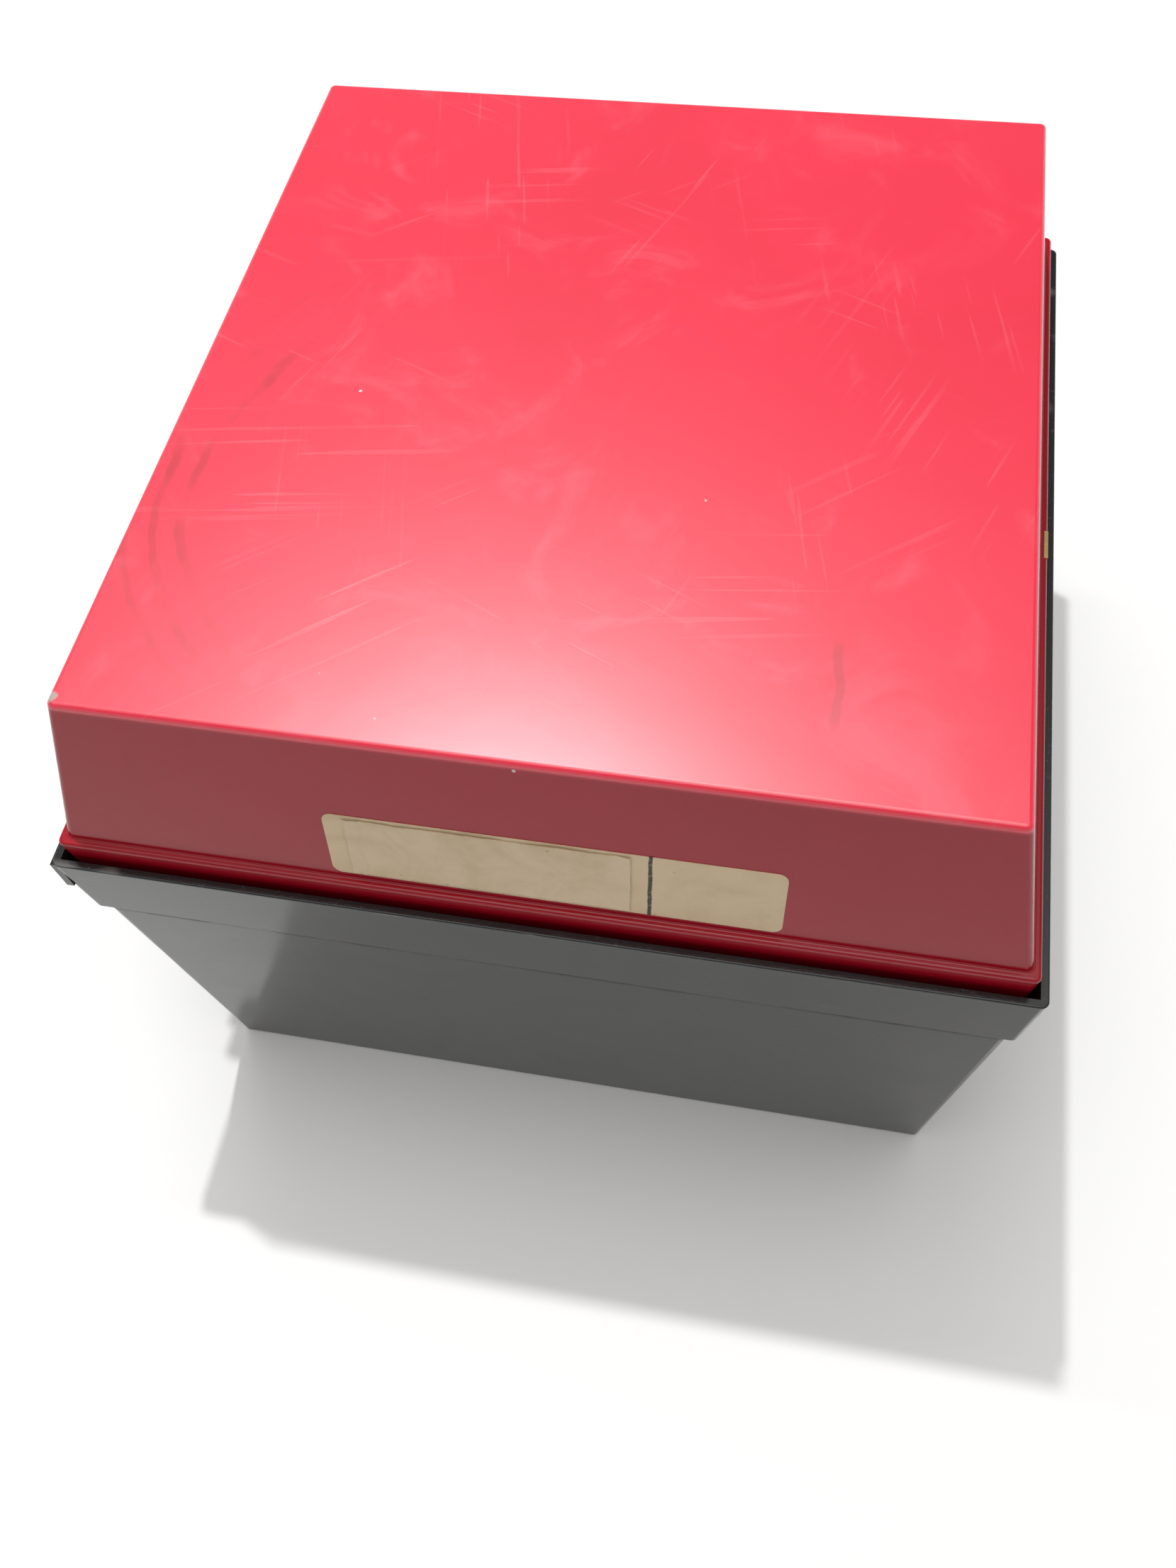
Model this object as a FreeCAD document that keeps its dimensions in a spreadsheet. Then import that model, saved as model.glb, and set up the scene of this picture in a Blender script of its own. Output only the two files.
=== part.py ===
import FreeCAD, Part
import math
import os

import Sketcher

# A jack in the box: a dark tapered tub, a red hinged lid, and inside them a head on a coil spring.
# Millimetres. The origin is the middle of the tub's bottom, X to the right, Y to the back, Z up.
# The lid hinges on the left and catches on the right; the label is on the front.

Vector = FreeCAD.Vector

SIZES = {
    # Lid
    "lid_top_width": 145.0,
    "lid_top_depth": 158.0,
    "lid_wall_height": 31.3,
    "lid_wall_flare": 6.9,
    "lid_wall": 1.8,
    "lid_shelf": 1.4,
    "lid_lip": 4.6,
    "skirt_wall": 1.5,
    "skirt_depth": 10.0,
    "lid_corner_radius": 1.2,
    "lid_edge_radius": 0.9,
    "shelf_edge_radius": 0.6,
    "shelf_root_radius": 0.4,
    # Tub
    "base_height": 92.7,
    "base_draft": 3.2,
    "base_wall": 1.4,
    "base_floor": 2.0,
    "rim_gap": 1.0,
    "rim_edge_radius": 0.3,
    "collar_height": 17.5,
    "collar_step": 1.0,
    "collar_edge_radius": 0.35,
    "base_corner_radius": 1.4,
    "base_foot_radius": 0.7,
    "rest_width": 3.0,
    "rest_height": 7.0,
    "rest_cover": 0.3,
    "rest_side_offset": 64.0,
    "rest_end_offset": 52.0,
    # Hinge
    "hem_out": 0.25,
    "hem_height": 8.0,
    "hem_end_inset": 0.25,
    "knuckle_radius": 2.6,
    "knuckle_gap": 0.5,
    "knuckle_width": 11.4,
    "knuckle_side_gap": 0.3,
    "ear_width": 6.0,
    "ear_nose": 1.2,
    "hinge_offset": 45.0,
    "arm_gap": 0.6,
    "heel_length": 4.4,
    "heel_low_angle": 200.0,
    "heel_high_angle": 172.0,
    "pin_radius": 1.2,
    "pin_proud": 0.5,
    "pin_fixed_gap": 0.03,
    "pin_running_gap": 0.06,
    # Catch
    "keeper_width": 6.5,
    "keeper_thickness": 0.7,
    "keeper_lip": 1.6,
    "keeper_lip_thickness": 0.5,
    "keeper_lip_rise": 0.4,
    "keeper_fit": 0.05,
    "notch_width": 14.0,
    "notch_height": 6.1,
    "leaf_width": 10.0,
    "leaf_thickness": 0.5,
    "leaf_foot_rise": 0.4,
    "leaf_lip_gap": 0.9,
    "leaf_bend": 1.6,
    "leaf_bend_drop": 0.3,
    "leaf_nose": 1.2,
    "leaf_nose_half": 1.1,
    "leaf_nose_above_lip": 1.2,
    "leaf_tail": 1.6,
    "catch_clearance": 0.3,
    "rivet_radius": 1.0,
    "rivet_head_radius": 1.5,
    "rivet_head": 0.8,
    "rivet_spacing": 5.5,
    "rivet_seat": 0.12,
    "rivet_hole_gap": 0.05,
    # Label
    "label_length": 72.8,
    "label_height": 14.0,
    "label_thickness": 0.15,
    "label_corner": 1.6,
    "label_centre_across": 4.6,
    "label_foot_rise": 1.4,
    "strip_length": 45.5,
    "strip_height": 12.8,
    "strip_thickness": 0.12,
    "strip_corner": 0.8,
    "strip_from_left": 3.5,
    "strip_from_foot": 0.6,
    # Board on the floor
    "board_side": 112.0,
    "board_thickness": 4.0,
    "board_corner": 6.0,
    "boss_height": 3.0,
    "boss_radius": 4.0,
    "boss_spacing": 98.0,
    "pilot_floor": 0.8,
    "screw_radius": 1.4,
    "screw_hole_gap": 0.3,
    "screw_pilot_gap": 0.05,
    "screw_head_radius": 3.0,
    "screw_head": 2.0,
    "screw_tip_gap": 0.6,
    # Spring
    "wire_radius": 1.0,
    "coil_radius": 22.0,
    "end_coil_step": 4.0,
    "spring_turn_gap": 0.45,
    "spring_seat_gap": 0.3,
    "clip_thickness": 0.8,
    "clip_width": 6.0,
    "clip_gap": 0.3,
    "clip_foot": 5.0,
    "clip_reach": 1.0,
    # Sleeve and its hoops
    "sleeve_inner_radius": 37.0,
    "sleeve_outer_radius": 46.0,
    "sleeve_cloth": 0.7,
    "sleeve_folds": 8,
    "sleeve_seat_gap": 0.3,
    "hoop_gap": 0.4,
    "hoop_fit": 0.05,
    "hoop_wall": 2.5,
    "hoop_lower_height": 3.0,
    # Jack
    "disc_radius": 35.0,
    "disc_thickness": 4.0,
    "neck_radius": 6.0,
    "neck_length": 20.0,
    "neck_fit": 0.05,
    "neck_screw_radius": 1.5,
    "neck_screw_head_radius": 3.8,
    "neck_screw_head": 2.0,
    "neck_screw_length": 14.0,
    "neck_screw_gap": 0.1,
    "ruff_radius": 44.0,
    "ruff_thickness": 5.0,
    "ruff_edge": 3.0,
    "ruff_droop": 1.5,
    "ruff_gap": 0.3,
    "head_radius": 26.5,
    "head_seat": 6.0,
    "eye_radius": 3.0,
    "eye_spacing": 18.0,
    "eye_rise": 6.0,
    "eye_depth": 3.2,
    "eye_fit": 0.1,
    "nose_radius": 6.0,
    "nose_drop": 3.0,
    "nose_seat_depth": 1.6,
    "nose_flat": 4.0,
    "nose_seat_radius": 5.6,
    "nose_spigot_radius": 2.0,
    "nose_spigot_length": 8.0,
    "nose_fit": 0.05,
    "cap_gap": 0.4,
    "cap_rise": 13.5,
    "cap_wall": 2.25,
    "cap_roll_radius": 2.2,
    "cap_peak": 10.1,
    "cap_tip_radius": 3.0,
    "bobble_radius": 5.5,
    "bobble_flat": 4.5,
    "head_room": 4.3,
}

doc = FreeCAD.newDocument("jack_in_the_box")
sheet = doc.addObject("Spreadsheet::Sheet", "dims")
for row, (alias, size) in enumerate(SIZES.items(), start=1):
    sheet.set(f"A{row}", alias)
    sheet.set(f"B{row}", str(size))
    sheet.setAlias(f"B{row}", alias)
doc.recompute()


def number(expression):
    """The present value of an expression on the sheet."""
    return float(sheet.evalExpression(str(expression)))


# Levels, as expressions on the sheet
SLOPE = "tan(dims.base_draft * 1deg)"
RIM_TOP = "dims.base_height"
SHELF_TOP = "(dims.base_height + dims.lid_lip)"
SHELF_UNDER = f"({SHELF_TOP} - dims.lid_wall)"
LID_TOP = f"({SHELF_TOP} + dims.lid_wall_height)"
LID_UNDER = f"({LID_TOP} - dims.lid_wall)"
SKIRT_FOOT = "(dims.base_height - dims.skirt_depth)"
STEP = "(dims.base_height - dims.collar_height)"
STEP_TOP = f"({STEP} + dims.base_wall)"
BOARD_FOOT = "(dims.base_floor + dims.boss_height)"
BOARD_TOP = f"({BOARD_FOOT} + dims.board_thickness)"

# The jack hangs from the lid's underside by its head room, and the spring fills what is left
CAP_HEIGHT = "(dims.head_radius + dims.cap_gap - dims.cap_rise + dims.cap_peak)"
CAP_BRIM = "(sqrt((dims.head_radius + dims.cap_gap)^2 - dims.cap_rise^2) + dims.cap_wall)"
CAP_TIP = f"({LID_UNDER} - dims.head_room - dims.bobble_radius - dims.bobble_flat)"
CAP_FOOT = f"({CAP_TIP} - {CAP_HEIGHT})"
HEAD_CENTRE = f"({CAP_FOOT} - dims.cap_rise)"
DISC_TOP = f"({HEAD_CENTRE} - dims.head_radius - dims.head_seat)"
DISC_FOOT = f"({DISC_TOP} - dims.disc_thickness)"
NECK_SCREW_SEAT = f"({DISC_FOOT} + dims.neck_screw_gap + dims.neck_screw_head)"
NECK_TOP = f"({DISC_TOP} + dims.neck_length)"


# Half widths of the box at a level: every wall leans by the same draft
def lid_half(side, level):
    lean = f"dims.lid_wall_flare * ({LID_TOP} - {level}) / dims.lid_wall_height"
    return f"(dims.lid_top_{side} / 2 + {lean})"


def skirt_out(side, level):
    shelf = f"dims.lid_top_{side} / 2 + dims.lid_wall_flare + dims.lid_shelf"
    return f"({shelf} - ({SHELF_TOP} - {level}) * {SLOPE})"


def skirt_in(side, level):
    return f"({skirt_out(side, level)} - dims.skirt_wall)"


def lid_in(side, level):
    return f"({lid_half(side, level)} - dims.lid_wall)"


def collar_in(side, level):
    return f"({skirt_out(side, level)} + dims.rim_gap)"


def collar_out(side, level):
    return f"({collar_in(side, level)} + dims.base_wall)"


def tub_out(side, level):
    return f"({collar_out(side, level)} - dims.collar_step)"


def tub_in(side, level):
    return f"({tub_out(side, level)} - dims.base_wall)"


# Sketches and features
def new_body(label):
    body = doc.addObject("PartDesign::Body", label)
    body.Label = label
    return body


def new_sketch(body, label, plane, offset):
    """A sketch on one of the body's origin planes, moved along that plane's normal."""
    sketch = body.newObject("Sketcher::SketchObject", label)
    support = [item for item in body.Origin.OriginFeatures if item.Role == plane][0]
    sketch.AttachmentSupport = [(support, "")]
    sketch.MapMode = "FlatFace"
    sketch.setExpression("AttachmentOffset.Base.z", offset)
    return sketch


def place_point(sketch, geometry, end, point):
    """Bind a point of a sketch to a pair of expressions measured from the sketch's origin."""
    for axis, expression in zip("XY", point):
        rule = Sketcher.Constraint(f"Distance{axis}", -1, 1, geometry, end, number(expression))
        index = sketch.addConstraint(rule)
        sketch.setExpression(f"Constraints[{index}]", expression)


def polygon(body, label, plane, offset, points):
    sketch = new_sketch(body, label, plane, offset)
    corners = [Vector(number(across), number(up), 0) for across, up in points]
    count = len(corners)
    for index in range(count):
        sketch.addGeometry(Part.LineSegment(corners[index], corners[(index + 1) % count]), False)
    for index in range(count):
        sketch.addConstraint(Sketcher.Constraint("Coincident", index, 2, (index + 1) % count, 1))
    for index, point in enumerate(points):
        place_point(sketch, index, 1, point)
    return sketch


def oblong(half_across, half_up):
    """The corners of an upright rectangle centred on the origin."""
    return [
        (f"-{half_across}", f"-{half_up}"),
        (half_across, f"-{half_up}"),
        (half_across, half_up),
        (f"-{half_across}", half_up),
    ]


def block(left, right, low, high):
    """The corners of an upright rectangle between four limits."""
    return [(left, low), (right, low), (right, high), (left, high)]


def circles(body, label, plane, offset, centres, radius):
    sketch = new_sketch(body, label, plane, offset)
    for index, centre in enumerate(centres):
        middle = Vector(number(centre[0]), number(centre[1]), 0)
        sketch.addGeometry(Part.Circle(middle, Vector(0, 0, 1), number(radius)), False)
        place_point(sketch, index, 3, centre)
        rule = sketch.addConstraint(Sketcher.Constraint("Radius", index, number(radius)))
        sketch.setExpression(f"Constraints[{rule}]", radius)
    return sketch


def feature(body, kind, label, profile):
    item = body.newObject(f"PartDesign::{kind}", label)
    item.Profile = profile
    return item


def extrude(body, kind, label, profile, length, side="Symmetric"):
    item = feature(body, kind, label, profile)
    item.SideType = side
    item.setExpression("Length", length)
    return item


def loft(body, kind, label, half_at, low, high):
    """A drafted block between two levels; half_at gives the half width and half depth at a level."""
    sections = []
    for name, level in (("low", low), ("high", high)):
        corners = oblong(half_at("width", level), half_at("depth", level))
        sections.append(polygon(body, f"{label}_{name}", "XY_Plane", level, corners))
    item = feature(body, kind, label, sections[0])
    item.Sections = [sections[1]]
    item.Ruled = True
    return item


def revolve(body, label, points):
    """A full turn about Z of a polygon given as radius and height."""
    profile = polygon(body, f"{label}_profile", "XZ_Plane", "0", points)
    item = feature(body, "Revolution", label, profile)
    item.ReferenceAxis = (profile, ["V_Axis"])
    item.Angle = 360
    return item


def fillet(body, label, radius, wanted):
    doc.recompute()
    base = body.Tip
    names = [f"Edge{index}" for index, edge in enumerate(base.Shape.Edges, start=1) if wanted(edge)]
    item = body.newObject("PartDesign::Fillet", label)
    item.Base = (base, names)
    item.setExpression("Radius", radius)
    return item


def rises(edge):
    """An edge that climbs from one level to another."""
    return edge.BoundBox.ZLength > 1.0


def lies_at(level):
    """A test for edges that lie at one level."""
    height = number(level)
    return lambda edge: edge.BoundBox.ZLength < 0.01 and abs(edge.BoundBox.ZMin - height) < 0.01


def primitive(kind, label, sizes, base=("0", "0", "0"), turn=None):
    """A primitive with its sizes and its place bound to the sheet; turn is an axis and an angle."""
    item = doc.addObject(f"Part::{kind}", label)
    if turn:
        item.Placement = FreeCAD.Placement(Vector(), FreeCAD.Rotation(Vector(*turn[0]), turn[1]))
    for name, expression in sizes.items():
        item.setExpression(name, expression)
    for axis, expression in zip("xyz", base):
        item.setExpression(f"Placement.Base.{axis}", expression)
    return item


def fuse(label, first, second):
    item = doc.addObject("Part::Fuse", label)
    item.Base = first
    item.Tool = second
    return item


def cut(label, solid, tool):
    item = doc.addObject("Part::Cut", label)
    item.Base = solid
    item.Tool = tool
    return item


def group(label, members):
    """Separate solids that share a node."""
    item = doc.addObject("Part::Compound", label)
    item.Links = members
    return item


# Hinge, common to the tub and the lid
HINGE_X = f"(-({collar_out('width', RIM_TOP)} + dims.hem_out + dims.knuckle_gap + dims.knuckle_radius))"
HINGE_Z = RIM_TOP
HINGE_SPAN = "(dims.knuckle_width + 2 * dims.knuckle_side_gap + 2 * dims.ear_width)"
HINGES = {"front": "(-dims.hinge_offset)", "rear": "dims.hinge_offset"}

# Catch, common to the tub and the lid
NOTCH_TOP = f"({SKIRT_FOOT} + dims.notch_height)"
LIP_FOOT = f"({SKIRT_FOOT} + dims.keeper_lip_rise)"
LIP_TOP = f"({LIP_FOOT} + dims.keeper_lip_thickness)"
LIP_END = f"({skirt_out('width', LIP_FOOT)} - dims.keeper_lip - dims.keeper_thickness)"
LEAF_BEND_TOP = f"({LIP_FOOT} - dims.leaf_lip_gap)"
LEAF_FOOT_TOP = f"({LEAF_BEND_TOP} - dims.leaf_bend)"
LEAF_FOOT = f"({STEP_TOP} + dims.leaf_foot_rise)"
RIVET_LEVEL = f"(({LEAF_FOOT} + {LEAF_FOOT_TOP}) / 2)"
RIVET_PLACES = [(f"{sign}dims.rivet_spacing / 2", RIVET_LEVEL) for sign in ("-", "")]
RIVET_HOLE = "(dims.rivet_radius + dims.rivet_hole_gap)"

# Board screws, common to the tub, the board and the screws
SCREW_PLACES = [
    (f"{across}dims.boss_spacing / 2", f"{back}dims.boss_spacing / 2") for across in ("-", "") for back in ("-", "")
]


def make_base_shell():
    body = new_body("base_shell")
    loft(body, "AdditiveLoft", "tub", tub_out, "0", STEP_TOP)
    loft(body, "AdditiveLoft", "collar", collar_out, STEP, RIM_TOP)
    fillet(body, "tub_corners", "dims.base_corner_radius", rises)
    fillet(body, "tub_foot", "dims.base_foot_radius", lies_at("0"))
    fillet(body, "rim_edge", "dims.rim_edge_radius", lies_at(RIM_TOP))
    fillet(body, "collar_foot", "dims.collar_edge_radius", lies_at(STEP))
    loft(body, "SubtractiveLoft", "tub_hollow", tub_in, "dims.base_floor", STEP_TOP)
    loft(body, "SubtractiveLoft", "collar_hollow", collar_in, STEP_TOP, RIM_TOP)

    # The hem down the hinge side, and the hinge ears on it
    hem_foot = f"({RIM_TOP} - dims.hem_height)"
    hem_outer = f"(-({collar_out('width', RIM_TOP)} + dims.hem_out))"
    hem_inner = f"(-({collar_out('width', hem_foot)} - dims.base_wall / 2))"
    hem_top = f"({RIM_TOP} - dims.rim_edge_radius)"
    hem_half = f"({collar_out('depth', RIM_TOP)} - dims.hem_end_inset)"
    hem = polygon(body, "hem_profile", "XZ_Plane", "0", block(hem_outer, hem_inner, hem_foot, hem_top))
    extrude(body, "Pad", "hem", hem, f"2 * {hem_half}")
    ear_step = "(dims.knuckle_width / 2 + dims.knuckle_side_gap + dims.ear_width / 2)"
    ear_outer = f"({HINGE_X} - dims.knuckle_radius)"
    ear_shape = [
        (ear_outer, HINGE_Z),
        (ear_outer, f"({HINGE_Z} - dims.ear_nose)"),
        (hem_inner, hem_foot),
        (hem_inner, hem_top),
        (HINGE_X, hem_top),
    ]
    for place, centre in HINGES.items():
        for end, sign in (("near", "-"), ("far", "+")):
            label = f"ear_{place}_{end}"
            offset = f"-({centre} {sign} {ear_step})"
            web = polygon(body, f"{label}_web_profile", "XZ_Plane", offset, ear_shape)
            extrude(body, "Pad", f"{label}_web", web, "dims.ear_width")
            ring = circles(body, f"{label}_ring", "XZ_Plane", offset, [(HINGE_X, HINGE_Z)], "dims.knuckle_radius")
            extrude(body, "Pad", label, ring, "dims.ear_width")
        bore = circles(
            body,
            f"bore_{place}_profile",
            "XZ_Plane",
            f"-{centre}",
            [(HINGE_X, HINGE_Z)],
            "(dims.pin_radius + dims.pin_fixed_gap)",
        )
        extrude(body, "Pocket", f"bore_{place}", bore, f"{HINGE_SPAN} + 2 * dims.pin_proud")

    # Brackets inside the collar that the lid's skirt stands on
    rest_foot = f"({SKIRT_FOOT} - dims.rest_height)"
    for side, plane, offset in (
        ("width", "XZ_Plane", "dims.rest_side_offset"),
        ("depth", "YZ_Plane", "dims.rest_end_offset"),
    ):
        inner = f"({skirt_out(side, SKIRT_FOOT)} - dims.skirt_wall - dims.rest_cover)"
        root_top = f"({collar_in(side, SKIRT_FOOT)} + dims.base_wall / 2)"
        root_foot = f"({collar_in(side, rest_foot)} + dims.base_wall / 2)"
        corners = [(inner, SKIRT_FOOT), (root_top, SKIRT_FOOT), (root_foot, rest_foot)]
        for wall, sign in (("plus", ""), ("minus", "-")):
            shape = [(f"{sign}{across}", level) for across, level in corners]
            for end, way in (("one", ""), ("two", "-")):
                label = f"rest_{side}_{wall}_{end}"
                bracket = polygon(body, f"{label}_profile", plane, f"{way}{offset}", shape)
                extrude(body, "Pad", label, bracket, "dims.rest_width")

    # Bosses for the board's screws
    bosses = circles(body, "bosses_profile", "XY_Plane", "dims.base_floor", SCREW_PLACES, "dims.boss_radius")
    extrude(body, "Pad", "bosses", bosses, "dims.boss_height", "One side")
    pilot = "(dims.screw_radius + dims.screw_pilot_gap)"
    pilots = circles(body, "pilots_profile", "XY_Plane", BOARD_FOOT, SCREW_PLACES, pilot)
    extrude(body, "Pocket", "pilots", pilots, f"{BOARD_FOOT} - dims.pilot_floor", "One side")

    # Holes for the catch's rivets
    holes = circles(body, "rivet_holes_profile", "YZ_Plane", collar_in("width", RIVET_LEVEL), RIVET_PLACES, RIVET_HOLE)
    extrude(body, "Pocket", "rivet_holes", holes, "4 * dims.base_wall")
    return body


def make_lid_shell():
    body = new_body("lid_shell")
    loft(body, "AdditiveLoft", "skirt", skirt_out, SKIRT_FOOT, SHELF_TOP)
    loft(body, "AdditiveLoft", "walls", lid_half, SHELF_TOP, LID_TOP)
    fillet(body, "lid_corners", "dims.lid_corner_radius", rises)
    fillet(body, "top_edges", "dims.lid_edge_radius", lies_at(LID_TOP))
    at_shelf = lies_at(SHELF_TOP)
    across = number(f"{lid_half('width', SHELF_TOP)} + dims.lid_shelf / 2")
    back = number(f"{lid_half('depth', SHELF_TOP)} + dims.lid_shelf / 2")

    def outer(edge):
        box = edge.BoundBox
        return max(box.XMax, -box.XMin) > across or max(box.YMax, -box.YMin) > back

    fillet(body, "shelf_roots", "dims.shelf_root_radius", lambda edge: at_shelf(edge) and not outer(edge))
    fillet(body, "shelf_edges", "dims.shelf_edge_radius", lambda edge: at_shelf(edge) and outer(edge))
    loft(body, "SubtractiveLoft", "skirt_hollow", skirt_in, SKIRT_FOOT, SHELF_UNDER)
    loft(body, "SubtractiveLoft", "lid_hollow", lid_in, SHELF_UNDER, LID_UNDER)

    # Hinge arms over the rim, with knuckles and stop heels
    arm_end = f"(-({skirt_out('width', SHELF_TOP)} - dims.skirt_wall / 2))"
    arm = block(HINGE_X, arm_end, f"({HINGE_Z} + dims.arm_gap)", f"({HINGE_Z} + dims.knuckle_radius)")
    heel = [(HINGE_X, HINGE_Z)]
    for angle in ("dims.heel_high_angle", "dims.heel_low_angle"):
        across = f"({HINGE_X} + dims.heel_length * cos({angle} * 1deg))"
        up = f"({HINGE_Z} + dims.heel_length * sin({angle} * 1deg))"
        heel.append((across, up))
    for place, centre in HINGES.items():
        offset = f"-{centre}"
        for name, shape in (("arm", arm), ("heel", heel)):
            profile = polygon(body, f"{name}_{place}_profile", "XZ_Plane", offset, shape)
            extrude(body, "Pad", f"{name}_{place}", profile, "dims.knuckle_width")
        ring = circles(body, f"knuckle_{place}_ring", "XZ_Plane", offset, [(HINGE_X, HINGE_Z)], "dims.knuckle_radius")
        extrude(body, "Pad", f"knuckle_{place}", ring, "dims.knuckle_width")
        hole = "(dims.pin_radius + dims.pin_running_gap)"
        bore = circles(body, f"knuckle_bore_{place}_profile", "XZ_Plane", offset, [(HINGE_X, HINGE_Z)], hole)
        extrude(body, "Pocket", f"knuckle_bore_{place}", bore, "dims.knuckle_width + 2 * dims.knuckle_side_gap")

    # Notch in the skirt for the catch, and the recess that the keeper lies in
    beyond = f"({skirt_out('width', SHELF_TOP)} + dims.lid_shelf)"
    below = f"({SKIRT_FOOT} - dims.skirt_wall)"
    above = f"({SHELF_TOP} + dims.keeper_thickness)"
    inside = f"({skirt_out('width', SKIRT_FOOT)} - 2 * dims.skirt_wall)"
    notch = polygon(body, "notch_profile", "XZ_Plane", "0", block(inside, beyond, below, NOTCH_TOP))
    extrude(body, "Pocket", "notch", notch, "dims.notch_width")
    depth = "(dims.keeper_thickness + dims.keeper_fit)"
    recess = [
        (f"({skirt_out('width', SKIRT_FOOT)} - {depth})", SKIRT_FOOT),
        (beyond, SKIRT_FOOT),
        (beyond, above),
        (f"({skirt_out('width', above)} - {depth})", above),
    ]
    recess_profile = polygon(body, "keeper_recess_profile", "XZ_Plane", "0", recess)
    extrude(body, "Pocket", "keeper_recess", recess_profile, "dims.keeper_width + 2 * dims.keeper_fit")
    return body


def make_hinge_pin(place):
    length = f"({HINGE_SPAN} + 2 * dims.pin_proud)"
    sizes = {"Radius": "dims.pin_radius", "Height": length}
    base = (HINGE_X, f"{HINGES[place]} + {length} / 2", HINGE_Z)
    return primitive("Cylinder", f"hinge_pin_{place}", sizes, base, ((1, 0, 0), 90))


def make_catch_keeper():
    body = new_body("catch_keeper")
    plate = [
        (skirt_out("width", LIP_FOOT), LIP_FOOT),
        (skirt_out("width", SHELF_TOP), SHELF_TOP),
        (f"({skirt_out('width', SHELF_TOP)} - dims.keeper_thickness)", SHELF_TOP),
        (f"({skirt_out('width', LIP_TOP)} - dims.keeper_thickness)", LIP_TOP),
        (LIP_END, LIP_TOP),
        (LIP_END, LIP_FOOT),
    ]
    profile = polygon(body, "keeper_profile", "XZ_Plane", "0", plate)
    extrude(body, "Pad", "keeper", profile, "dims.keeper_width")
    return body


def make_catch_leaf():
    body = new_body("catch_leaf")
    nose_tip = f"({LIP_END} - dims.catch_clearance)"
    stem = f"({nose_tip} - dims.leaf_nose)"
    nose_foot = f"({LIP_TOP} + dims.leaf_nose_above_lip)"
    nose_level = f"({nose_foot} + dims.leaf_nose_half)"
    nose_top = f"({nose_level} + dims.leaf_nose_half)"
    tail_top = f"({nose_top} + dims.leaf_tail)"
    outer = [
        (collar_in("width", LEAF_FOOT), LEAF_FOOT),
        (collar_in("width", LEAF_FOOT_TOP), LEAF_FOOT_TOP),
        (stem, LEAF_BEND_TOP),
        (stem, nose_foot),
        (nose_tip, nose_level),
        (stem, nose_top),
        (stem, tail_top),
    ]
    inner = [(f"({across} - dims.leaf_thickness)", level) for across, level in outer]
    for bend in (1, 2):
        across, level = inner[bend]
        inner[bend] = (across, f"({level} - dims.leaf_bend_drop)")
    profile = polygon(body, "leaf_profile", "XZ_Plane", "0", outer + inner[::-1])
    extrude(body, "Pad", "leaf", profile, "dims.leaf_width")
    holes = circles(body, "leaf_holes_profile", "YZ_Plane", collar_in("width", RIVET_LEVEL), RIVET_PLACES, RIVET_HOLE)
    extrude(body, "Pocket", "leaf_holes", holes, "6 * dims.leaf_thickness")
    return body


def make_catch_rivets():
    inner_face = f"({collar_in('width', RIVET_LEVEL)} - dims.leaf_thickness - dims.rivet_seat)"
    outer_face = f"({collar_out('width', RIVET_LEVEL)} + dims.rivet_seat)"
    along_x = ((0, 1, 0), 90)
    rivets = []
    for index, (back, level) in enumerate(RIVET_PLACES, start=1):
        head = {"Radius": "dims.rivet_head_radius", "Height": "dims.rivet_head"}
        shank = {"Radius": "dims.rivet_radius", "Height": f"{outer_face} - {inner_face}"}
        inner_at = (f"{inner_face} - dims.rivet_head", back, level)
        inner = primitive("Cylinder", f"rivet_{index}_inner_head", head, inner_at, along_x)
        middle = primitive("Cylinder", f"rivet_{index}_shank", shank, (inner_face, back, level), along_x)
        outer = primitive("Cylinder", f"rivet_{index}_outer_head", head, (outer_face, back, level), along_x)
        rivets.append(fuse(f"rivet_{index}", fuse(f"rivet_{index}_stem", inner, middle), outer))
    return group("catch_rivets", rivets)


def paper(label, length, height, thickness, corner, left, rise, stand):
    """A rectangle of paper on the lid's front wall; left, rise and stand place its lower left corner."""
    body = new_body(label)
    profile = polygon(body, f"{label}_profile", "XZ_Plane", "0", block("0", length, "0", height))
    extrude(body, "Pad", f"{label}_sheet", profile, thickness, "One side")
    fillet(body, f"{label}_corners", corner, lambda edge: edge.BoundBox.YLength > number(thickness) / 2)
    lean = "atan(dims.lid_wall_flare / dims.lid_wall_height)"
    body.Placement = FreeCAD.Placement(Vector(), FreeCAD.Rotation(Vector(-1, 0, 0), number(lean)))
    body.setExpression("Placement.Rotation.Angle", lean)
    front = lid_half("depth", SHELF_TOP)
    body.setExpression("Placement.Base.x", left)
    body.setExpression("Placement.Base.y", f"-{front} + {rise} * sin({lean}) - {stand} * cos({lean})")
    body.setExpression("Placement.Base.z", f"{SHELF_TOP} + {rise} * cos({lean}) + {stand} * sin({lean})")
    return body


def make_labels():
    left = "(dims.label_centre_across - dims.label_length / 2)"
    backing = paper(
        "label_backing",
        "dims.label_length",
        "dims.label_height",
        "dims.label_thickness",
        "dims.label_corner",
        left,
        "dims.label_foot_rise",
        "0",
    )
    strip = paper(
        "label_strip",
        "dims.strip_length",
        "dims.strip_height",
        "dims.strip_thickness",
        "dims.strip_corner",
        f"({left} + dims.strip_from_left)",
        "(dims.label_foot_rise + dims.strip_from_foot)",
        "dims.label_thickness",
    )
    return [backing, strip]


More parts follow.
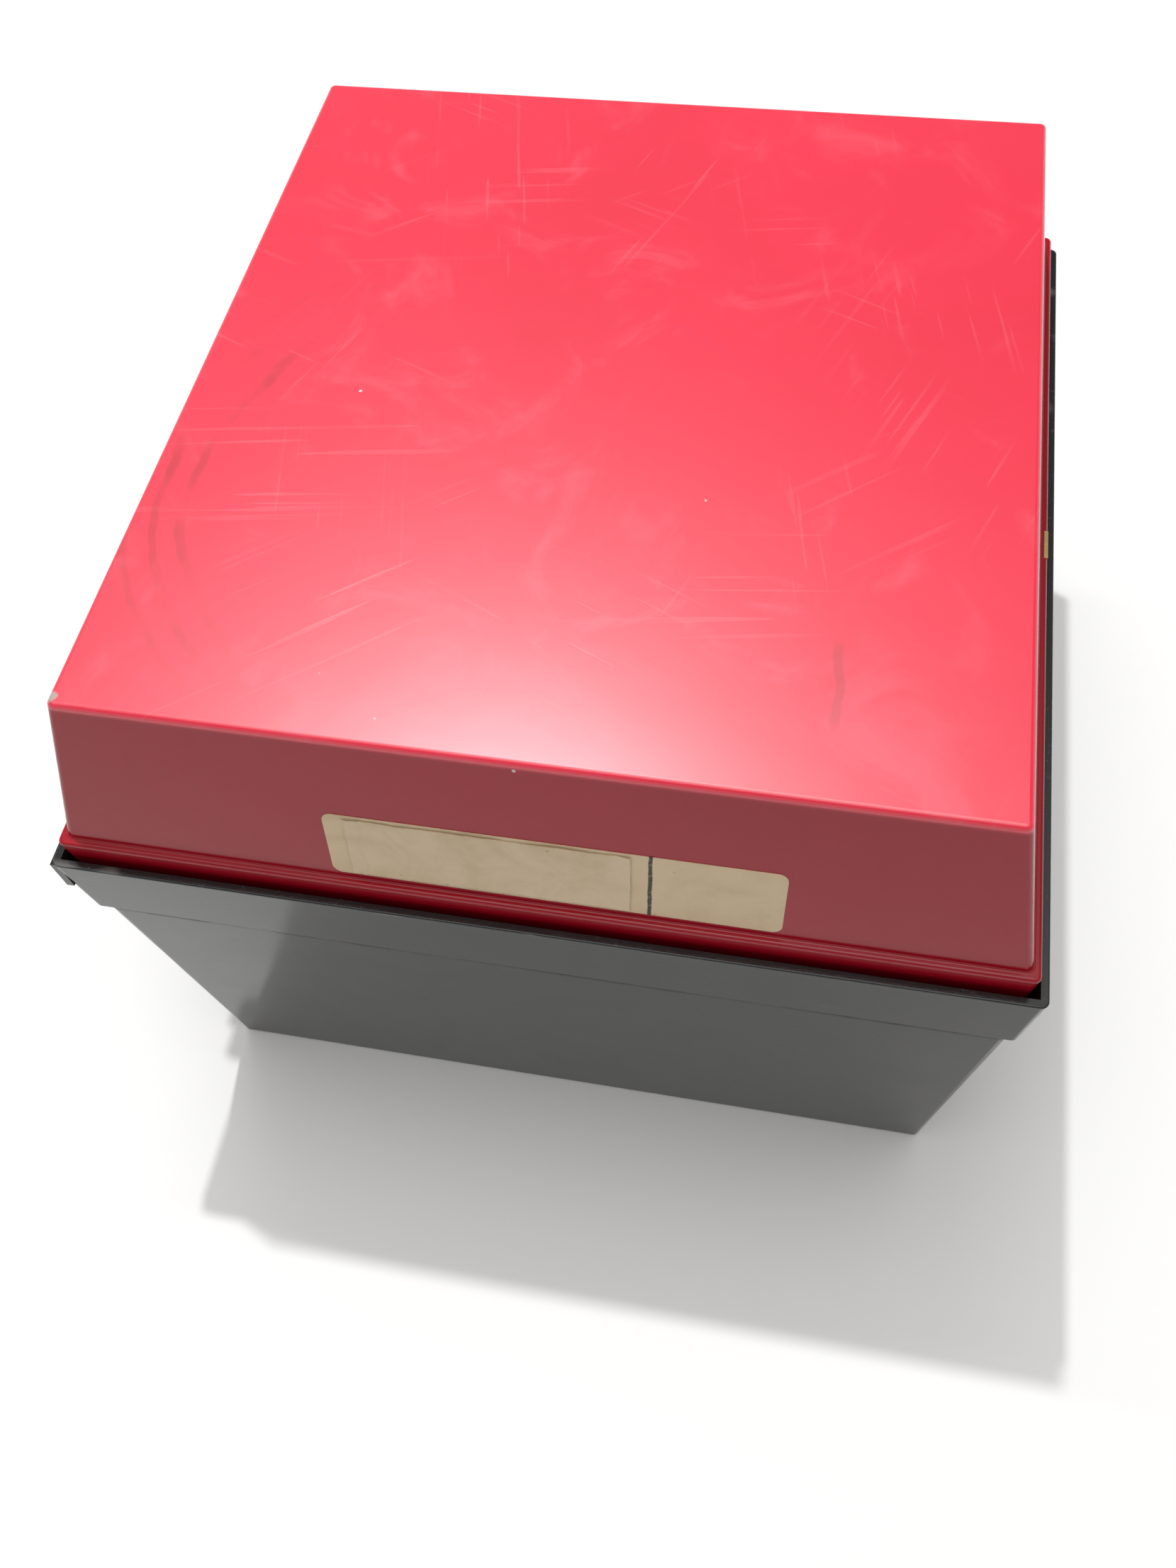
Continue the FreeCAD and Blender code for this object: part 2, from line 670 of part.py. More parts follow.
def make_spring_board():
    body = new_body("spring_board")
    half = "(dims.board_side / 2)"
    profile = polygon(body, "board_profile", "XY_Plane", BOARD_FOOT, oblong(half, half))
    extrude(body, "Pad", "board", profile, "dims.board_thickness", "One side")
    fillet(body, "board_corners", "dims.board_corner", rises)
    hole = "(dims.screw_radius + dims.screw_hole_gap)"
    holes = circles(body, "board_holes_profile", "XY_Plane", BOARD_TOP, SCREW_PLACES, hole)
    extrude(body, "Pocket", "board_holes", holes, "dims.board_thickness", "One side")
    return body


def make_board_screws():
    tip = "(dims.pilot_floor + dims.screw_tip_gap)"
    screws = []
    for index, (across, back) in enumerate(SCREW_PLACES, start=1):
        head = {"Radius": "dims.screw_head_radius", "Height": "dims.screw_head"}
        shank = {"Radius": "dims.screw_radius", "Height": f"{BOARD_TOP} - {tip}"}
        top = primitive("Cylinder", f"board_screw_{index}_head", head, (across, back, BOARD_TOP))
        stem = primitive("Cylinder", f"board_screw_{index}_shank", shank, (across, back, tip))
        screws.append(fuse(f"board_screw_{index}", top, stem))
    return group("board_screws", screws)


# The spring's path, in turns from an end: the first turn lies flat and wide, then the wire draws in
# and starts to climb, so that the second turn lies inside the first.
END_COIL_RADIUS = "(dims.coil_radius + dims.end_coil_step)"
FLAT_TURN = 0.75
CLIMB_TURN = 0.5
DRAW_FROM = 0.62
DRAW_TO = 1.25
CLIP_TURNS = (0.08, 0.34, 0.60)


def climbed(turn):
    """Climb in pitches after so many turns from an end."""
    past = turn - FLAT_TURN
    if past <= 0:
        return 0.0
    if past < CLIMB_TURN:
        return past * past / (2 * CLIMB_TURN)
    return past - CLIMB_TURN / 2


def spring_turns():
    """Whole turns that fit between the board and the disc."""
    span = number(f"{DISC_FOOT} - {BOARD_TOP} - 2 * (dims.wire_radius + dims.spring_seat_gap)")
    pitch = number("2 * dims.wire_radius + dims.spring_turn_gap")
    return math.floor(span / pitch + 2 * FLAT_TURN + CLIMB_TURN)


def spring_curve():
    """The middle line of the wire, as a function of the turn."""
    turns = spring_turns()
    coil_radius = number("dims.coil_radius")
    end_radius = number(END_COIL_RADIUS)
    edge = number("dims.wire_radius + dims.spring_seat_gap")
    low = number(BOARD_TOP) + edge
    high = number(DISC_FOOT) - edge
    half_climb = climbed(turns / 2)

    def point(turn):
        from_end = min(turn, turns - turn)
        share = min(max((from_end - DRAW_FROM) / (DRAW_TO - DRAW_FROM), 0.0), 1.0)
        share = share * share * (3 - 2 * share)
        radius = end_radius + (coil_radius - end_radius) * share
        climb = climbed(turn) if turn <= turns / 2 else 2 * half_climb - climbed(turns - turn)
        angle = 2 * math.pi * turn
        height = low + (high - low) * climb / (2 * half_climb)
        return Vector(radius * math.cos(angle), radius * math.sin(angle), height)

    return point


def arc_from(start, direction, end):
    """The arc that leaves start along a direction and ends at a point."""
    chord = end - start
    along = chord * (1 / chord.Length)
    across = (direction - along * direction.dot(along)).normalize()
    bulge = chord.Length / 2 * math.tan(direction.getAngle(along) / 2)
    return Part.Arc(start, (start + end) * 0.5 + across * bulge, end).toShape()


def biarc(start, leaving, end, arriving):
    """Two arcs that meet smoothly between two points with given directions."""
    chord = end - start
    spread = 2 * (1 - leaving.dot(arriving))
    reach = chord.dot(leaving + arriving)
    step = (math.sqrt(reach * reach + spread * chord.dot(chord)) - reach) / spread
    meeting = (start + leaving * step + end - arriving * step) * 0.5
    return [arc_from(start, leaving, meeting), arc_from(end, arriving * -1, meeting)]


def least_gap(point, turns, wire_radius):
    """The least clear distance between turns, measured on points of the wire's middle line."""
    per_turn = 72
    count = int(turns * per_turn)
    points = [point(turns * index / count) for index in range(count + 1)]
    nearest = min(
        points[first].distanceToPoint(points[second])
        for first in range(count)
        for second in range(first + per_turn // 2, min(first + 2 * per_turn, count + 1))
    )
    return nearest - 2 * wire_radius


def make_main_spring():
    point = spring_curve()
    turns = spring_turns()
    wire_radius = number("dims.wire_radius")
    quarters = int(round(4 * turns))
    marks = [turns * index / quarters for index in range(quarters + 1)]
    points = [point(mark) for mark in marks]
    ahead = 0.001
    directions = [(point(mark + ahead) - point(mark - ahead)).normalize() for mark in marks]
    tail = points[0] - directions[0] * (2 * wire_radius)
    tip = points[-1] + directions[-1] * (2 * wire_radius)
    edges = [Part.LineSegment(tail, points[0]).toShape()]
    for index in range(quarters):
        edges += biarc(points[index], directions[index], points[index + 1], directions[index + 1])
    edges.append(Part.LineSegment(points[-1], tip).toShape())
    path = Part.Wire(Part.sortEdges(edges)[0])
    section = Part.Wire([Part.Circle(tail, directions[0], wire_radius).toShape()])
    solid = path.makePipeShell([section], True, False)
    share = solid.Volume / (math.pi * wire_radius**2 * path.Length)
    print("spring volume over section times length:", round(share, 5))
    print("spring least gap to itself:", round(least_gap(point, turns, wire_radius), 3))
    item = doc.addObject("Part::Feature", "main_spring")
    item.Shape = solid
    return item


def make_spring_clips(label, seat, way, turn):
    """Clips on a seat over the spring's end turn; way is + on a seat below it and - on one above it."""
    outer = f"({END_COIL_RADIUS} + dims.wire_radius + dims.clip_gap)"
    riser = f"({outer} + dims.clip_thickness)"
    reach = f"({END_COIL_RADIUS} - dims.clip_reach)"
    lip_under = "(dims.spring_seat_gap + 2 * dims.wire_radius + dims.clip_gap)"
    lip_top = f"({lip_under} + dims.clip_thickness)"
    corners = [
        (outer, "0"),
        (f"({riser} + dims.clip_foot)", "0"),
        (f"({riser} + dims.clip_foot)", "dims.clip_thickness"),
        (riser, "dims.clip_thickness"),
        (riser, lip_top),
        (reach, lip_top),
        (reach, lip_under),
        (outer, lip_under),
    ]
    shape = [(across, f"({seat} {way} {up})") for across, up in corners]
    clips = []
    for index, place in enumerate(CLIP_TURNS, start=1):
        body = new_body(f"{label}_{index}")
        profile = polygon(body, f"{label}_{index}_profile", "XZ_Plane", "0", shape)
        extrude(body, "Pad", f"{label}_{index}_strip", profile, "dims.clip_width")
        body.Placement = FreeCAD.Placement(Vector(), FreeCAD.Rotation(Vector(0, 0, 1), 360 * turn(place)))
        clips.append(body)
    return group(label, clips)


def make_sleeve():
    """A pleated tube: a zigzag wall of even thickness, turned about Z, from a crest up to a nook."""
    inner = number("dims.sleeve_inner_radius")
    outer = number("dims.sleeve_outer_radius")
    half = number("dims.sleeve_cloth / 2")
    seat = number("dims.sleeve_seat_gap")
    layers = 2 * int(number("dims.sleeve_folds")) + 1
    low = number(BOARD_TOP) + seat + half
    rise = (number(DISC_FOOT) - seat - half - low) / layers
    nook = half * (outer - inner) / rise
    outside = [Vector(outer, 0, low + half)]
    inside = [Vector(outer, 0, low - half)]
    for index in range(1, layers):
        level = low + rise * index
        if index % 2:
            outside.append(Vector(inner + nook, 0, level))
            inside += [Vector(inner, 0, level - half), Vector(inner, 0, level + half)]
        else:
            outside += [Vector(outer, 0, level - half), Vector(outer, 0, level + half)]
            inside.append(Vector(outer - nook, 0, level))
    top = low + rise * layers
    corners = outside + [Vector(inner, 0, top + half), Vector(inner, 0, top - half)] + inside[::-1]
    item = doc.addObject("Part::Feature", "sleeve")
    item.Shape = Part.Face(Part.makePolygon(corners + corners[:1])).revolve(Vector(), Vector(0, 0, 1), 360)
    return item


def make_turned(label, points):
    body = new_body(label)
    revolve(body, f"{label}_turned", points)
    return body


def make_hoops():
    lower_inner = "(dims.sleeve_outer_radius + dims.hoop_gap)"
    lower_top = f"({BOARD_TOP} + dims.hoop_lower_height)"
    lower = block(lower_inner, f"({lower_inner} + dims.hoop_wall)", BOARD_TOP, lower_top)
    upper_inner = "(dims.disc_radius + dims.hoop_fit)"
    upper = block(upper_inner, f"({upper_inner} + dims.hoop_wall)", DISC_FOOT, DISC_TOP)
    return [make_turned("sleeve_hoop_lower", lower), make_turned("sleeve_hoop_upper", upper)]


def make_body_disc():
    hole = "(dims.neck_screw_radius + dims.neck_screw_gap)"
    counterbore = "(dims.neck_screw_head_radius + dims.neck_screw_gap)"
    points = [
        (hole, DISC_TOP),
        (hole, NECK_SCREW_SEAT),
        (counterbore, NECK_SCREW_SEAT),
        (counterbore, DISC_FOOT),
        ("dims.disc_radius", DISC_FOOT),
        ("dims.disc_radius", DISC_TOP),
    ]
    return make_turned("body_disc", points)


def make_neck_dowel():
    pilot = "(dims.neck_screw_radius + dims.neck_screw_gap)"
    pilot_top = f"({NECK_SCREW_SEAT} + dims.neck_screw_length + dims.neck_screw_gap)"
    points = [
        (pilot, DISC_TOP),
        ("dims.neck_radius", DISC_TOP),
        ("dims.neck_radius", NECK_TOP),
        ("0", NECK_TOP),
        ("0", pilot_top),
        (pilot, pilot_top),
    ]
    return make_turned("neck_dowel", points)


def make_neck_screw():
    head = {"Radius": "dims.neck_screw_head_radius", "Height": "dims.neck_screw_head"}
    shank = {"Radius": "dims.neck_screw_radius", "Height": "dims.neck_screw_length"}
    top = primitive("Cylinder", "neck_screw_shank", shank, ("0", "0", NECK_SCREW_SEAT))
    foot = primitive("Cylinder", "neck_screw_top", head, ("0", "0", f"{NECK_SCREW_SEAT} - dims.neck_screw_head"))
    return fuse("neck_screw", foot, top)


def make_ruff():
    inner = "(dims.neck_radius + dims.ruff_gap)"
    foot = f"({DISC_TOP} + dims.ruff_gap)"
    over_hoop = "(dims.disc_radius + dims.hoop_fit + dims.hoop_wall + dims.ruff_gap)"
    edge_foot = f"({foot} - dims.ruff_droop)"
    points = [
        (inner, foot),
        (over_hoop, foot),
        ("dims.ruff_radius", edge_foot),
        ("dims.ruff_radius", f"({edge_foot} + dims.ruff_edge)"),
        ("dims.head_radius", f"({foot} + dims.ruff_thickness)"),
        (inner, f"({foot} + dims.ruff_thickness)"),
    ]
    return make_turned("ruff", points)


def head_surface(across, up):
    """How far the face reaches forward at a point beside and above the middle of the head."""
    return f"sqrt(dims.head_radius^2 - ({across})^2 - ({up})^2)"


FORWARD = ((1, 0, 0), 90)
EYE_SEAT = f"({head_surface('dims.eye_spacing / 2', 'dims.eye_rise')} - dims.eye_depth)"
NOSE_SEAT = f"({head_surface('0', 'dims.nose_drop')} - dims.nose_seat_depth)"
NOSE_LEVEL = f"({HEAD_CENTRE} - dims.nose_drop)"


def make_head():
    shape = primitive("Sphere", "head_ball", {"Radius": "dims.head_radius"}, ("0", "0", HEAD_CENTRE))
    neck = {"Radius": "dims.neck_radius + dims.neck_fit", "Height": "dims.neck_length"}
    seat = {"Radius": "dims.nose_seat_radius", "Height": "dims.nose_seat_depth + dims.nose_radius"}
    spigot_length = "(dims.nose_spigot_length + dims.nose_fit)"
    spigot = {"Radius": "dims.nose_spigot_radius + dims.nose_fit", "Height": spigot_length}
    tools = [
        primitive("Cylinder", "neck_hole", neck, ("0", "0", DISC_TOP)),
        primitive("Cylinder", "nose_seat", seat, ("0", f"-{NOSE_SEAT}", NOSE_LEVEL), FORWARD),
        primitive("Cylinder", "nose_hole", spigot, ("0", f"-{NOSE_SEAT} + {spigot_length}", NOSE_LEVEL), FORWARD),
    ]
    socket = {"Radius": "dims.eye_radius + dims.eye_fit", "Height": "dims.eye_depth + dims.eye_radius"}
    for name, sign in (("left", "-"), ("right", "")):
        place = (f"{sign}dims.eye_spacing / 2", f"-{EYE_SEAT}", f"{HEAD_CENTRE} + dims.eye_rise")
        tools.append(primitive("Cylinder", f"eye_socket_{name}", socket, place, FORWARD))
    for index, tool in enumerate(tools, start=1):
        label = "head" if index == len(tools) else f"head_cut_{index}"
        shape = cut(label, shape, tool)
    return shape


def make_nose():
    ball = {"Radius": "dims.nose_radius", "Angle1": "-asin(dims.nose_flat / dims.nose_radius)"}
    spigot = {"Radius": "dims.nose_spigot_radius", "Height": "dims.nose_spigot_length"}
    ball_at = ("0", f"-({NOSE_SEAT} + dims.nose_flat)", NOSE_LEVEL)
    spigot_at = ("0", f"-{NOSE_SEAT} + dims.nose_spigot_length", NOSE_LEVEL)
    front = primitive("Sphere", "nose_ball", ball, ball_at, FORWARD)
    return fuse("nose", front, primitive("Cylinder", "nose_spigot", spigot, spigot_at, FORWARD))


def make_eyes():
    eyes = []
    for name, sign in (("left", "-"), ("right", "")):
        across = f"{sign}dims.eye_spacing / 2"
        level = f"{HEAD_CENTRE} + dims.eye_rise"
        shank = {"Radius": "dims.eye_radius", "Height": "dims.eye_depth"}
        dome = {"Radius": "dims.eye_radius", "Angle1": "0"}
        stem = primitive("Cylinder", f"eye_stem_{name}", shank, (across, f"-{EYE_SEAT}", level), FORWARD)
        front = (across, f"-({EYE_SEAT} + dims.eye_depth)", level)
        eyes.append(fuse(f"eye_{name}", stem, primitive("Sphere", f"eye_dome_{name}", dome, front, FORWARD)))
    return group("eyes", eyes)


def make_cap():
    cone = {"Radius1": CAP_BRIM, "Radius2": "dims.cap_tip_radius", "Height": CAP_HEIGHT}
    roll = {"Radius1": f"{CAP_BRIM} - dims.cap_roll_radius / 2", "Radius2": "dims.cap_roll_radius"}
    hollow = {"Radius": "dims.head_radius + dims.cap_gap"}
    body = primitive("Cone", "cap_cone", cone, ("0", "0", CAP_FOOT))
    brim = primitive("Torus", "cap_roll", roll, ("0", "0", CAP_FOOT))
    room = primitive("Sphere", "cap_hollow", hollow, ("0", "0", HEAD_CENTRE))
    return cut("cap", fuse("cap_solid", body, brim), room)


def make_cap_bobble():
    ball = {"Radius": "dims.bobble_radius", "Angle1": "-asin(dims.bobble_flat / dims.bobble_radius)"}
    return primitive("Sphere", "cap_bobble", ball, ("0", "0", f"{CAP_TIP} + dims.bobble_flat"))


nodes = [
    make_base_shell(),
    make_lid_shell(),
    make_hinge_pin("front"),
    make_hinge_pin("rear"),
    make_catch_keeper(),
    make_catch_leaf(),
    make_catch_rivets(),
    *make_labels(),
    make_spring_board(),
    make_board_screws(),
    make_main_spring(),
    make_spring_clips("spring_clips_lower", BOARD_TOP, "+", lambda place: place),
    make_spring_clips("spring_clips_upper", DISC_FOOT, "-", lambda place: spring_turns() - place),
    make_sleeve(),
    *make_hoops(),
    make_body_disc(),
    make_neck_dowel(),
    make_neck_screw(),
    make_ruff(),
    make_head(),
    make_nose(),
    make_eyes(),
    make_cap(),
    make_cap_bobble(),
]
doc.recompute()

for item in doc.Objects:
    if "Invalid" in item.State or "Error" in item.State:
        raise RuntimeError(f"{item.Label} failed: {item.State}")
for item in nodes:
    if item.Shape.isNull() or not item.Shape.isValid() or not item.Shape.Solids:
        raise RuntimeError(f"{item.Label} has no valid solid")

os.makedirs("parts", exist_ok=True)
for item in nodes:
    item.Shape.exportStep(f"parts/{item.Label}.step")
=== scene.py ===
import math

import bmesh
import bpy
from mathutils import Matrix, Vector, noise


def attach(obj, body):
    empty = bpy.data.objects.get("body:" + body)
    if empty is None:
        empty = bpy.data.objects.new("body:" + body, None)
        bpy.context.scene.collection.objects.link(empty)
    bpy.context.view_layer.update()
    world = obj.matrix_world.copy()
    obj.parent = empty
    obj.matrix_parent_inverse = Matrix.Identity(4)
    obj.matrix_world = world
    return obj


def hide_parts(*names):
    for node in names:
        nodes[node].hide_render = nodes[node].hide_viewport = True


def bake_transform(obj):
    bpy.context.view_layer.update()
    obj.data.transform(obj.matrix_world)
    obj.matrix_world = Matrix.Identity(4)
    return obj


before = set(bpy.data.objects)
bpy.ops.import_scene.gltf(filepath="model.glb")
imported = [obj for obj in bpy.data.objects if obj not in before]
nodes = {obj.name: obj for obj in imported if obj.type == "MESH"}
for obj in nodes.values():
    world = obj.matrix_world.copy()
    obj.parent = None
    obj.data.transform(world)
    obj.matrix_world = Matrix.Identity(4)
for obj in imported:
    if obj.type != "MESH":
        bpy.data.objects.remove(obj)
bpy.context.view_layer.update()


def reach(name):
    """The lowest and the highest corner of a CAD node, in metres."""
    box = [tuple(corner) for corner in nodes[name].bound_box]
    return Vector(tuple(map(min, zip(*box)))), Vector(tuple(map(max, zip(*box))))


# Levels above the table: the lid's top, the step under the tub's collar and the middle of the head
LID_TOP = reach("lid_shell")[1].z
COLLAR_FOOT = 0.0752
HEAD_RADIUS = 0.0265
HEAD_CENTRE = reach("head")[1].z - HEAD_RADIUS


# Shader graphs
class Graph:
    """A node tree, with short calls for the nodes used here."""

    def __init__(self, owner, shader, place):
        owner.use_nodes = True
        self.owner = owner
        self.tree = owner.node_tree
        self.shader = next(n for n in self.tree.nodes if n.type == shader)
        self.place = self.node("ShaderNodeTexCoord").outputs[place]

    def node(self, kind, **props):
        item = self.tree.nodes.new(kind)
        for key, value in props.items():
            setattr(item, key, value)
        return item

    def set(self, socket, value):
        if hasattr(value, "is_linked"):
            self.tree.links.new(value, socket)
        elif socket.type == "RGBA":
            socket.default_value = (*value, 1.0)
        else:
            socket.default_value = value

    def shade(self, **inputs):
        for key, value in inputs.items():
            self.set(self.shader.inputs[key.replace("_", " ")], value)

    def math(self, operation, a, b=0.0, c=0.0, clamp=False):
        item = self.node("ShaderNodeMath", operation=operation, use_clamp=clamp)
        for socket, value in zip(item.inputs, (a, b, c)):
            self.set(socket, value)
        return item.outputs[0]

    def total(self, first, *others):
        for value in others:
            first = self.math("ADD", first, value)
        return first

    def product(self, first, *others):
        for value in others:
            first = self.math("MULTIPLY", first, value)
        return first

    def split(self, vector):
        item = self.node("ShaderNodeSeparateXYZ")
        self.set(item.inputs[0], vector)
        return item.outputs

    def moved(self, vector, turn=(0, 0, 0), scale=(1, 1, 1)):
        item = self.node("ShaderNodeMapping")
        self.set(item.inputs["Vector"], vector)
        item.inputs["Rotation"].default_value = [math.radians(a) for a in turn]
        item.inputs["Scale"].default_value = scale
        return item.outputs[0]

    def noise(self, scale, detail=3.0, rough=0.5, bend=0.0, vector=None):
        item = self.node("ShaderNodeTexNoise")
        self.set(item.inputs["Vector"], self.place if vector is None else vector)
        settings = {"Scale": scale, "Detail": detail, "Roughness": rough, "Distortion": bend}
        for key, value in settings.items():
            item.inputs[key].default_value = value
        return item.outputs[0]

    def cells(self, scale):
        item = self.node("ShaderNodeTexVoronoi")
        self.set(item.inputs["Vector"], self.place)
        item.inputs["Scale"].default_value = scale
        return item.outputs

    def wave(self, scale, bend=0.0, vector=None, direction="X"):
        item = self.node("ShaderNodeTexWave", bands_direction=direction)
        self.set(item.inputs["Vector"], self.place if vector is None else vector)
        item.inputs["Scale"].default_value = scale
        item.inputs["Distortion"].default_value = bend
        return item.outputs["Fac"]

    def span(self, value, low, high, out_low=0.0, out_high=1.0):
        """A smooth step from one value to another."""
        item = self.node("ShaderNodeMapRange", interpolation_type="SMOOTHSTEP")
        for socket, entry in zip(item.inputs, (value, low, high, out_low, out_high)):
            self.set(socket, entry)
        return item.outputs[0]

    def mix(self, share, a, b):
        item = self.node("ShaderNodeMix", data_type="RGBA")
        self.set(item.inputs["Factor"], share)
        self.set(item.inputs[6], a)
        self.set(item.inputs[7], b)
        return item.outputs[2]

    def away(self, value, centre):
        return self.math("ABSOLUTE", self.math("SUBTRACT", value, centre))

    def near(self, centre, wobble, scale):
        """Distance from a point, made uneven by noise."""
        item = self.node("ShaderNodeVectorMath", operation="DISTANCE")
        self.set(item.inputs[0], self.place)
        item.inputs[1].default_value = centre
        uneven = self.math("MULTIPLY_ADD", self.noise(scale), wobble, -wobble / 2)
        return self.math("ADD", item.outputs["Value"], uneven)

    def bump(self, height, distance, strength):
        item = self.node("ShaderNodeBump")
        self.set(item.inputs["Height"], height)
        item.inputs["Distance"].default_value = distance
        item.inputs["Strength"].default_value = strength
        self.set(self.shader.inputs["Normal"], item.outputs[0])


def material_graph(name):
    return Graph(bpy.data.materials.new(name), "BSDF_PRINCIPLED", "Object")


def lid_scratches(g):
    """Thin straight scratches in patches, in five directions across the lid's top."""
    threshold, fade = 0.67, 0.035
    directions = (
        {"turn": 24, "spacing": 0.0011, "length": 0.030},
        {"turn": -38, "spacing": 0.0014, "length": 0.042},
        {"turn": 78, "spacing": 0.0010, "length": 0.024},
        {"turn": 112, "spacing": 0.0012, "length": 0.034},
        {"turn": -8, "spacing": 0.0013, "length": 0.050},
    )

    def scratches(turn, spacing, length):
        turned = g.moved(g.place, turn=(0, 0, turn))
        stretched = g.moved(turned, scale=(1 / length, 1 / spacing, 1 / length))
        lines = g.noise(1.0, detail=1.0, rough=0.4, vector=stretched)
        patches = g.span(g.noise(24.0, detail=1.0, vector=turned), 0.52, 0.76)
        return g.product(g.span(lines, threshold, threshold + fade), patches)

    return g.total(*(scratches(**direction) for direction in directions))


def lid_rubs(g):
    """Rubbed arcs round a point inside the left edge, and one short dark streak near the front."""
    arc_centre = (-0.0165, -0.0280, LID_TOP)
    streak_x, streak_y = 0.0420, -0.059
    x, y, _ = g.split(g.place)
    radius = g.near(arc_centre, 0.0090, 38.0)
    arcs = g.span(g.wave(62.0, 1.0, radius), 0.55, 0.95)
    band = g.product(g.span(radius, 0.042, 0.047), g.span(radius, 0.062, 0.056))
    sector = g.product(g.span(x, -0.030, -0.046), g.span(y, 0.040, 0.015))
    broken = g.span(g.noise(40.0, 4.0, 0.6), 0.38, 0.70)
    rubbed = g.product(arcs, band, sector, broken)

    middle = g.math("MULTIPLY_ADD", g.noise(90.0), 0.004, streak_x)
    thin = g.span(g.away(x, middle), 0.0012, 0.0004)
    short = g.span(g.away(y, streak_y), 0.010, 0.005)
    return g.math("MAXIMUM", rubbed, g.product(thin, short, 0.7))


def red_plastic():
    """Gloss red moulding: walls painted a darker red as shade and a top painted a lighter red as
    light, the top also smeared and scratched.
    """
    g = material_graph("lid_gloss_red")
    on_top = g.span(g.split(g.place)[2], LID_TOP - 0.0016, LID_TOP - 0.0006)
    cloud = g.span(g.noise(14.0, 4.0, 0.55, 0.8), 0.3, 0.7)
    # Painted light: the top and the walls are lit and shaded copies of one red, the top much lighter
    walls_painted_shaded = g.mix(cloud, (0.37, 0.0035, 0.014), (0.40, 0.0045, 0.018))
    top_painted_lit = g.mix(cloud, (0.82, 0.008, 0.045), (0.88, 0.012, 0.055))
    colour = g.mix(on_top, walls_painted_shaded, top_painted_lit)

    hazy_pink, scratch_pink, rubbed_red = (0.90, 0.16, 0.24), (0.95, 0.45, 0.50), (0.36, 0.002, 0.010)
    smear = g.span(g.noise(34.0, 6.0, 0.65, 2.0), 0.50, 0.74)
    scratched = g.product(lid_scratches(g), on_top)
    colour = g.mix(g.product(smear, on_top, 0.16), colour, hazy_pink)
    colour = g.mix(g.math("MULTIPLY", scratched, 0.11, clamp=True), colour, scratch_pink)
    colour = g.mix(g.product(lid_rubs(g), on_top, 0.6), colour, rubbed_red)

    # Pale specks, and a chip at the front-left corner
    dust, bare = (0.88, 0.82, 0.80), (0.46, 0.34, 0.30)
    chip_centre = (-0.0722, -0.0774, LID_TOP - 0.0002)
    specks = g.cells(95.0)
    rare = g.span(g.split(specks["Color"])[0], 0.90, 0.93)
    speck = g.product(g.span(specks["Distance"], 0.036, 0.018), rare)
    colour = g.mix(g.product(speck, 0.8), colour, dust)
    chip = g.span(g.near(chip_centre, 0.0020, 900.0), 0.0013, 0.0007)
    colour = g.mix(chip, colour, bare)

    rough = g.math("MULTIPLY_ADD", on_top, 0.18, g.span(smear, 0.0, 1.0, 0.17, 0.22))
    g.shade(
        Base_Color=colour,
        Roughness=g.math("MAXIMUM", rough, g.product(chip, 0.7)),
        IOR=1.55,
        Specular_IOR_Level=g.span(on_top, 0.0, 1.0, 0.4, 0.8),
        Coat_Weight=g.product(on_top, 0.5),
        Coat_Roughness=0.30,
    )
    g.bump(g.total(g.product(g.noise(60.0, 2.0), 0.5), g.product(scratched, -0.05)), 0.0002, 0.5)
    return g.owner


def dark_plastic():
    """Satin dark grey moulding with fine scuffs and dust, and painted shade under the collar."""
    g = material_graph("tub_satin_black")
    z = g.split(g.place)[2]
    colour = g.mix(g.noise(20.0, 4.0, 0.6, 1.0), (0.011, 0.011, 0.012), (0.020, 0.020, 0.021))

    # Slanted scuffs, most of them on the collar
    scuff_grey, dust_grey = (0.32, 0.31, 0.30), (0.25, 0.24, 0.22)
    collar_low, collar_high = 0.082, 0.094
    slanted = g.moved(g.place, turn=(0, 18, 0), scale=(45.0, 45.0, 800.0))
    on_collar = g.span(g.span(z, collar_low, collar_high), 0.0, 1.0, 0.15, 1.0)
    scuff = g.product(g.span(g.noise(1.0, 2.0, vector=slanted), 0.66, 0.72), on_collar)
    colour = g.mix(g.product(scuff, 0.5), colour, scuff_grey)
    dust = g.product(g.span(g.noise(900.0, 2.0), 0.60, 0.80), 0.12)
    colour = g.mix(dust, colour, dust_grey)

    # Painted shade in the corner under the collar, as a duller and weaker reflection, which thins out
    # unevenly down the wall
    ragged = g.math("MULTIPLY_ADD", g.noise(140.0, 4.0, 0.6), 0.0012, g.math("SUBTRACT", z, 0.0006))
    below = g.span(ragged, COLLAR_FOOT - 0.0043, COLLAR_FOOT - 0.0022)
    under = g.product(below, g.span(z, COLLAR_FOOT + 0.0004, COLLAR_FOOT))
    painted_collar_shade = g.product(under, g.span(g.noise(35.0, 3.0), 0.30, 0.60, 0.30, 0.75))
    rough = g.span(g.noise(45.0, 4.0, 0.6, 1.5), 0.3, 0.75, 0.12, 0.19)
    g.shade(
        Base_Color=colour,
        Roughness=g.math("MAXIMUM", rough, g.product(painted_collar_shade, 0.7)),
        IOR=1.52,
        Specular_IOR_Level=g.math("MULTIPLY_ADD", painted_collar_shade, -0.40, 0.5),
    )
    g.bump(g.total(g.noise(2600.0, 2.0), g.product(g.noise(40.0, 2.0), 2.0)), 0.00003, 0.5)
    return g.owner


